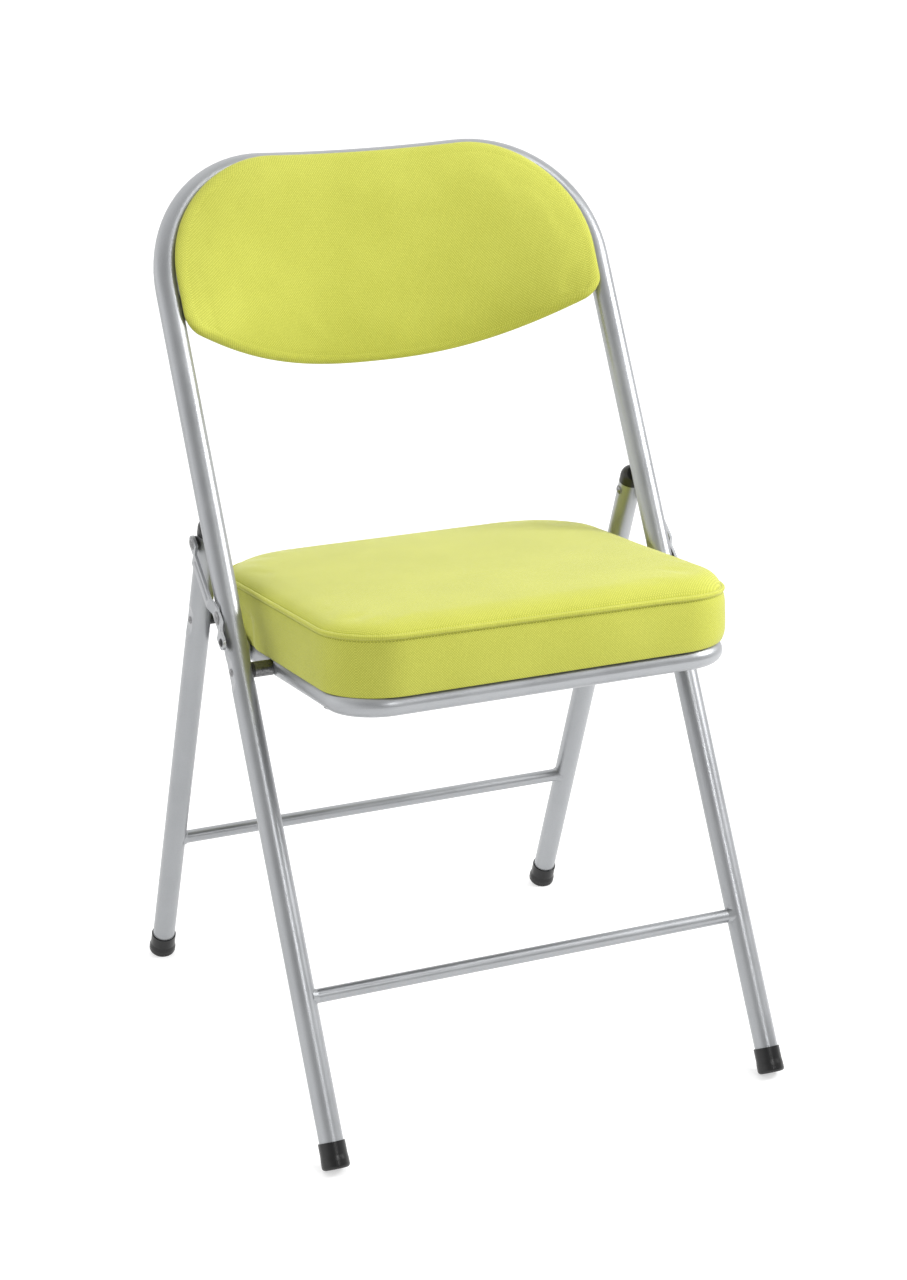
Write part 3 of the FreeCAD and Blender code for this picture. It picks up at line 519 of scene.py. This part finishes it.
# The band hangs from the seam to the hem, which turns in under the board's edge by HEM_TURN's shares
# of the way, each with its lift, and then goes up into the board's pocket.
seam_loop = cover_loop(SEAM_INSET)
pocket_loop = cushion_loop(POCKET_INSET, BOARD_REAR_HALF)
top_flat = coons_panel(seam_loop, CUSHION_CELLS)
under_flat = coons_panel(pocket_loop, CUSHION_CELLS)
cushion_rings = []
for t in np.linspace(0, 1, BAND_ROWS + 1)[1:]:
    full = 1 - abs(2 * t - 1) ** 5
    band = cover_loop(SEAM_INSET - BAND_SWELL * full) + (0, BAND_SHIFT * full)
    hem = HEM_UP + HEM_SLANT * band[:, 1] + HEM_LIFT
    cushion_rings.append(on_seat(band, seam_up(band) + (hem - seam_up(band)) * t))
for share, lift in HEM_TURN:
    turned = seam_loop + (pocket_loop - seam_loop) * share
    hem = HEM_UP + HEM_SLANT * seam_loop[:, 1] * (1 - share)
    cushion_rings.append(on_seat(turned, hem + lift))
cushion_rings.append(on_seat(pocket_loop, BOARD_TOP - POCKET_RING_DOWN))
cushion_rings = np.stack(cushion_rings)
band_step = (SEAM_UP - HEM_UP) / BAND_ROWS
drop = np.linalg.norm(np.diff(cushion_rings[:, 0], axis=0), axis=1)
last_down = band_step + drop.sum() + POCKET_RING_DOWN
band_down = np.concatenate([[0, band_step], band_step + np.cumsum(drop), [last_down]])
# The top rises from the seam by a quarter of an ellipse, then by its crown, and at the front left corner
# by CORNER_RISE times forward times x.
rise = 1 - np.minimum(rim_distance(top_flat, seam_loop) / SHOULDER_REACH, 1)
shoulder = np.sqrt(1 - rise ** 2)
top_up = seam_up(top_flat) + (SEAM_UP + SHOULDER_UP - seam_up(top_flat)) * shoulder
top_up += CROWN * dome_share(CUSHION_CELLS)
top_up += CORNER_RISE * shoulder * np.maximum(top_flat[..., 0], 0) * np.maximum(top_flat[..., 1], 0)
cushion = upholstered("seat_cushion_cover", CUSHION_CELLS, on_seat(top_flat, top_up), cushion_rings,
                      on_seat(under_flat, BOARD_TOP), top_flat,
                      (length_round(seam_loop), 1 + band_down), under_flat)
panel_count = top_flat.shape[0] * top_flat.shape[1]
cushion_sewn = np.ones(len(cushion.data.vertices), bool)
cushion_sewn[:panel_count + (BAND_ROWS - 1) * len(seam_loop)] = False
cushion_sewn[rim_of(CUSHION_CELLS)] = True
swell(cushion, cushion_sewn, CUSHION_REACH)
set_points(cushion, pressed_in(points_of(cushion.data)))
rounder(cushion)
lime_cover = lime_weave("lime_weave", 0.0)
cushion.data.materials.append(lime_cover)
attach(cushion, "seat")
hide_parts("seat_cushion")

# Welt: a cord in a bias-cut strip of the same cloth, sewn into the seam between the cushion's top
# panel and its band, all the way round.
WELT_RADIUS = 0.0023
WELT_SIDES = 14
WELT_OUT = 0.0006
WELT_UP = 0.0010


def tube_round(name, path, up, radius, sides):
    """Closed tube: a circle of the given radius carried round a closed path, upright to up."""
    ahead = np.roll(path, -1, 0) - np.roll(path, 1, 0)
    ahead /= np.linalg.norm(ahead, axis=1)[:, None]
    out = np.cross(ahead, up)
    out /= np.linalg.norm(out, axis=1)[:, None]
    over = np.cross(out, ahead)
    angle = np.linspace(0, 2 * math.pi, sides, endpoint=False)
    ring = np.cos(angle)[None, :, None] * out[:, None] + np.sin(angle)[None, :, None] * over[:, None]
    points = path[:, None] + radius * ring
    index = np.arange(len(path) * sides).reshape(len(path), sides)
    on, turned = np.roll(index, -1, 0), np.roll(index, -1, 1)
    quads = np.stack([index, on, np.roll(on, -1, 1), turned], -1).reshape(-1, 4)
    girth = np.linspace(0, 2 * math.pi * radius, sides + 1)
    cloth = np.stack(np.meshgrid(length_round(path), girth, indexing="ij"), -1)
    return cloth_piece(name, points.reshape(-1, 3), quads, cell_corners(cloth))


welt_loop = cover_loop(SEAM_INSET - WELT_OUT)
welt_path = on_seat(welt_loop, seam_up(welt_loop) + WELT_UP)
welt = tube_round("seat_cushion_welt", welt_path, seat_up, WELT_RADIUS, WELT_SIDES)
rounder(welt)
welt.data.materials.append(lime_weave("lime_welt", math.radians(45)))
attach(welt, "seat")

# Back pad: foam on a dished board under one piece of the same cloth, drawn over the board's edge
# and glued behind it. It stands before the hoop's top bar and legs.
FRAME_LEAN = math.radians(28.95)
FRAME_FOOT_Y = -0.24898069
PAD_HALF = 0.2148
PAD_TOP = 0.937
PAD_LOW = 0.771
PAD_BOW = 0.022
PAD_CORNERS = (0.016, 0.016, 0.118, 0.118)
PAD_LEAST_CORNER = 0.006
PAD_HEIGHT = 0.188
DISH_SIDE = 0.010894
DISH_MIDDLE = -0.00805
DISH_SLOPE = math.radians(21.3)
DISH_LOW = DISH_MIDDLE - PAD_HEIGHT * math.tan(DISH_SLOPE)
PAD_STUFFING = 0.0085
PAD_FACE = (0.0075, 0.0140)
PAD_EDGE = [(0.0050, 0.0134), (0.0028, 0.0120), (0.0012, 0.0100), (0.0004, 0.0076), (0.0004, 0.0050),
            (0.0014, 0.0026), (0.0030, 0.0010), (0.0056, 0.0004)]
PAD_POCKET = (0.0087, 0.0063)
PAD_POCKET_EDGE = [(PAD_POCKET[0] - 0.0006, 0.0005), (PAD_POCKET[0], 0.0012),
                   (PAD_POCKET[0], PAD_POCKET[1] - 0.0006)]
PAD_FREE_RINGS = 3
PAD_CELLS = (90, 44)
PAD_REACH = 0.0006
frame_up = np.array([0, math.sin(FRAME_LEAN), math.cos(FRAME_LEAN)])
frame_out = np.array([0, -math.cos(FRAME_LEAN), math.sin(FRAME_LEAN)])


def pad_place(flat):
    """Places (x, up) on the pad: its straight lower edge is bowed down in the middle, by 1 - s ** 2.6
    of PAD_BOW, s = x / half, and the bow fades to the top."""
    x, up = flat[..., 0], flat[..., 1]
    bow = PAD_BOW * (1 - np.abs(x / PAD_HALF) ** 2.6)
    return np.stack([x, up - bow * (PAD_TOP - up) / (PAD_TOP - PAD_LOW)], -1)


def dish(place):
    """Rear face of the back: level at the sides, sunk in the middle, more so to the lower edge. By
    (1 - s ** 2) ** 1.5 of its depth along the top and 1 - s ** 2.3 along the lower edge, s = x / half."""
    x, up = place[..., 0], place[..., 1]
    side = np.minimum(np.abs(x / PAD_HALF), 1)
    at_top = DISH_SIDE + (DISH_MIDDLE - DISH_SIDE) * (1 - side ** 2) ** 1.5
    at_low = DISH_SIDE + (DISH_LOW - DISH_SIDE) * (1 - side ** 2.3)
    out = at_top + (at_low - at_top) * (PAD_TOP - up) / PAD_HEIGHT
    foot = np.array([0, FRAME_FOOT_Y, 0])
    across = x[..., None] * np.array([1.0, 0, 0])
    return foot + across + up[..., None] * frame_up + out[..., None] * frame_out


def on_back(flat, depth):
    """Points at a depth in front of the back's rear face, square to it."""
    place = pad_place(flat)
    step = 0.0005
    ahead = dish(place + (step, 0)) - dish(place - (step, 0))
    above = dish(place + (0, step)) - dish(place - (0, step))
    square = np.cross(ahead, above)
    square /= np.linalg.norm(square, axis=-1)[..., None]
    return dish(place) + np.broadcast_to(depth, place.shape[:-1])[..., None] * square


def pad_loop(inset):
    """The pad's outline drawn in by an inset, before its lower edge is bowed."""
    half, low, top = PAD_HALF - inset, PAD_LOW + inset, PAD_TOP - inset
    corners = [(-half, low), (half, low), (half, top), (-half, top)]
    return rounded_loop(corners, [max(r - inset, PAD_LEAST_CORNER) for r in PAD_CORNERS], PAD_CELLS)


def end_share(flat):
    """Thickness of the pad as a share: 1 - s ** 14 / 2, s = x / half, so that it halves at its ends."""
    return 1 - np.minimum(np.abs(flat[..., 0] / PAD_HALF), 1) ** 14 / 2


# Each pair is an inset from the pad's outline and a depth before its rear face, from the face round
# the edge and into the board's pocket.
face_inset, face_depth = PAD_FACE
pocket_inset, pocket_depth = PAD_POCKET
edge_loop = pad_loop(face_inset)
face_flat = coons_panel(edge_loop, PAD_CELLS)
rear_flat = coons_panel(pad_loop(pocket_inset), PAD_CELLS)
stuffing = PAD_STUFFING * dome_share(PAD_CELLS)
face_points = on_back(face_flat, face_depth * end_share(face_flat) + stuffing)
pad_rings = []
for inset, depth in PAD_EDGE:
    loop = pad_loop(inset)
    pad_rings.append(on_back(loop, depth * end_share(loop)))
pad_rings += [on_back(pad_loop(inset), depth) for inset, depth in PAD_POCKET_EDGE]
wrap = np.array([PAD_FACE, *PAD_EDGE, *PAD_POCKET_EDGE, PAD_POCKET])
edge_down = np.concatenate([[0], np.cumsum(np.linalg.norm(np.diff(wrap, axis=0), axis=1))])
pad = upholstered("back_pad_cover", PAD_CELLS, face_points, np.stack(pad_rings),
                  on_back(rear_flat, pocket_depth), face_flat,
                  (length_round(edge_loop), edge_down), rear_flat)
pad_sewn = np.ones(len(pad.data.vertices), bool)
pad_sewn[:face_flat.shape[0] * face_flat.shape[1] + PAD_FREE_RINGS * len(edge_loop)] = False
swell(pad, pad_sewn, PAD_REACH)
rounder(pad)
pad.data.materials.append(lime_cover)
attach(pad, "front_frame")
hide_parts("back_pad")

# Studio: a wide pale floor before a white surround, brighter overhead and low on the sitter's right,
# dimmer behind the camera, which the metal mirrors too. The floor keeps the chair's soft shadow.
FLOOR_HALF = 30.0
FLOOR_GREY = (0.66, 0.66, 0.66, 1)
FLOOR_GLOW = 0.55


def seen_directly(material):
    """1 where a ray comes from the camera, a mirror or clear glass, and 0 for light between surfaces."""
    path = node(material, "ShaderNodeLightPath")
    either = reckon(material, "MAXIMUM", path.outputs["Is Camera Ray"], path.outputs["Is Glossy Ray"])
    return reckon(material, "MAXIMUM", either, path.outputs["Is Transmission Ray"])


floor_mesh = bpy.data.meshes.new("floor")
floor_corners = [(-FLOOR_HALF, -FLOOR_HALF, 0), (FLOOR_HALF, -FLOOR_HALF, 0),
                 (FLOOR_HALF, FLOOR_HALF, 0), (-FLOOR_HALF, FLOOR_HALF, 0)]
floor_mesh.from_pydata(floor_corners, [], [(0, 1, 2, 3)])
floor = bpy.data.objects.new("floor", floor_mesh)
bpy.context.scene.collection.objects.link(floor)
floor_paper = finish("floor_paper", Base_Color=FLOOR_GREY, Roughness=0.9, Specular_IOR_Level=0.1,
                     Emission_Color=(1, 1, 1, 1))
floor_glow = ranged(floor_paper, seen_directly(floor_paper), 0, 1, 0, FLOOR_GLOW)
feed(floor_paper, Emission_Strength=floor_glow)
floor_mesh.materials.append(floor_paper)

world = bpy.data.worlds.new("studio")
bpy.context.scene.world = world
world.use_nodes = True
surround = world.node_tree.nodes["Background"]
surround.inputs["Color"].default_value = (1, 1, 1, 1)
outwards = node(world, "ShaderNodeTexCoord").outputs["Generated"]
way = node(world, "ShaderNodeSeparateXYZ", {0: outwards})
behind_chair = ranged(world, way.outputs["Y"], -0.6, 0.6, 0.28, 1.05)
overhead = ranged(world, way.outputs["Z"], 0.1, 1.0, 0.0, 0.31)
beside = ranged(world, way.outputs["X"], -0.2, -0.9, 0.0, 0.9)
low_down = ranged(world, way.outputs["Z"], 0.5, 0.0, 0.0, 1.0)
glow = reckon(world, "MULTIPLY_ADD", beside, low_down, reckon(world, "ADD", behind_chair, overhead))
world.node_tree.links.new(glow, surround.inputs["Strength"])


def softbox(name, place, target, size, power):
    """Square area lamp at a place, turned to a target."""
    lamp = bpy.data.lights.new(name, "AREA")
    lamp.size = size
    lamp.energy = power
    box = bpy.data.objects.new(name, lamp)
    box.location = place
    aim = Vector(target) - Vector(place)
    box.rotation_euler = aim.to_track_quat("-Z", "Y").to_euler()
    bpy.context.scene.collection.objects.link(box)


softbox("key_light", (0.2, -2.2, 1.5), (0, 0, 0.4), 0.5, 8.5)
softbox("side_light", (1.96, -0.85, 1.63), (0, 0, 0.5), 0.7, 38)
softbox("top_light", (0.75, -0.55, 2.1), (0, 0, 0.3), 0.5, 3.5)

# Camera: at the sitter's front right and above the seat, looking down a little, as the photograph
# was taken.
LOOK_DOWN = 18.99
LOOK_ASIDE = -24.08
camera = bpy.data.cameras.new("camera")
camera.lens = 78.03
camera.sensor_width = 36
viewer = bpy.data.objects.new("camera", camera)
viewer.location = (-1.005, -2.25518, 1.2368)
viewer.rotation_euler = (math.radians(90 - LOOK_DOWN), 0, math.radians(LOOK_ASIDE))
bpy.context.scene.collection.objects.link(viewer)
bpy.context.scene.camera = viewer
bpy.context.scene.view_settings.view_transform = "Standard"
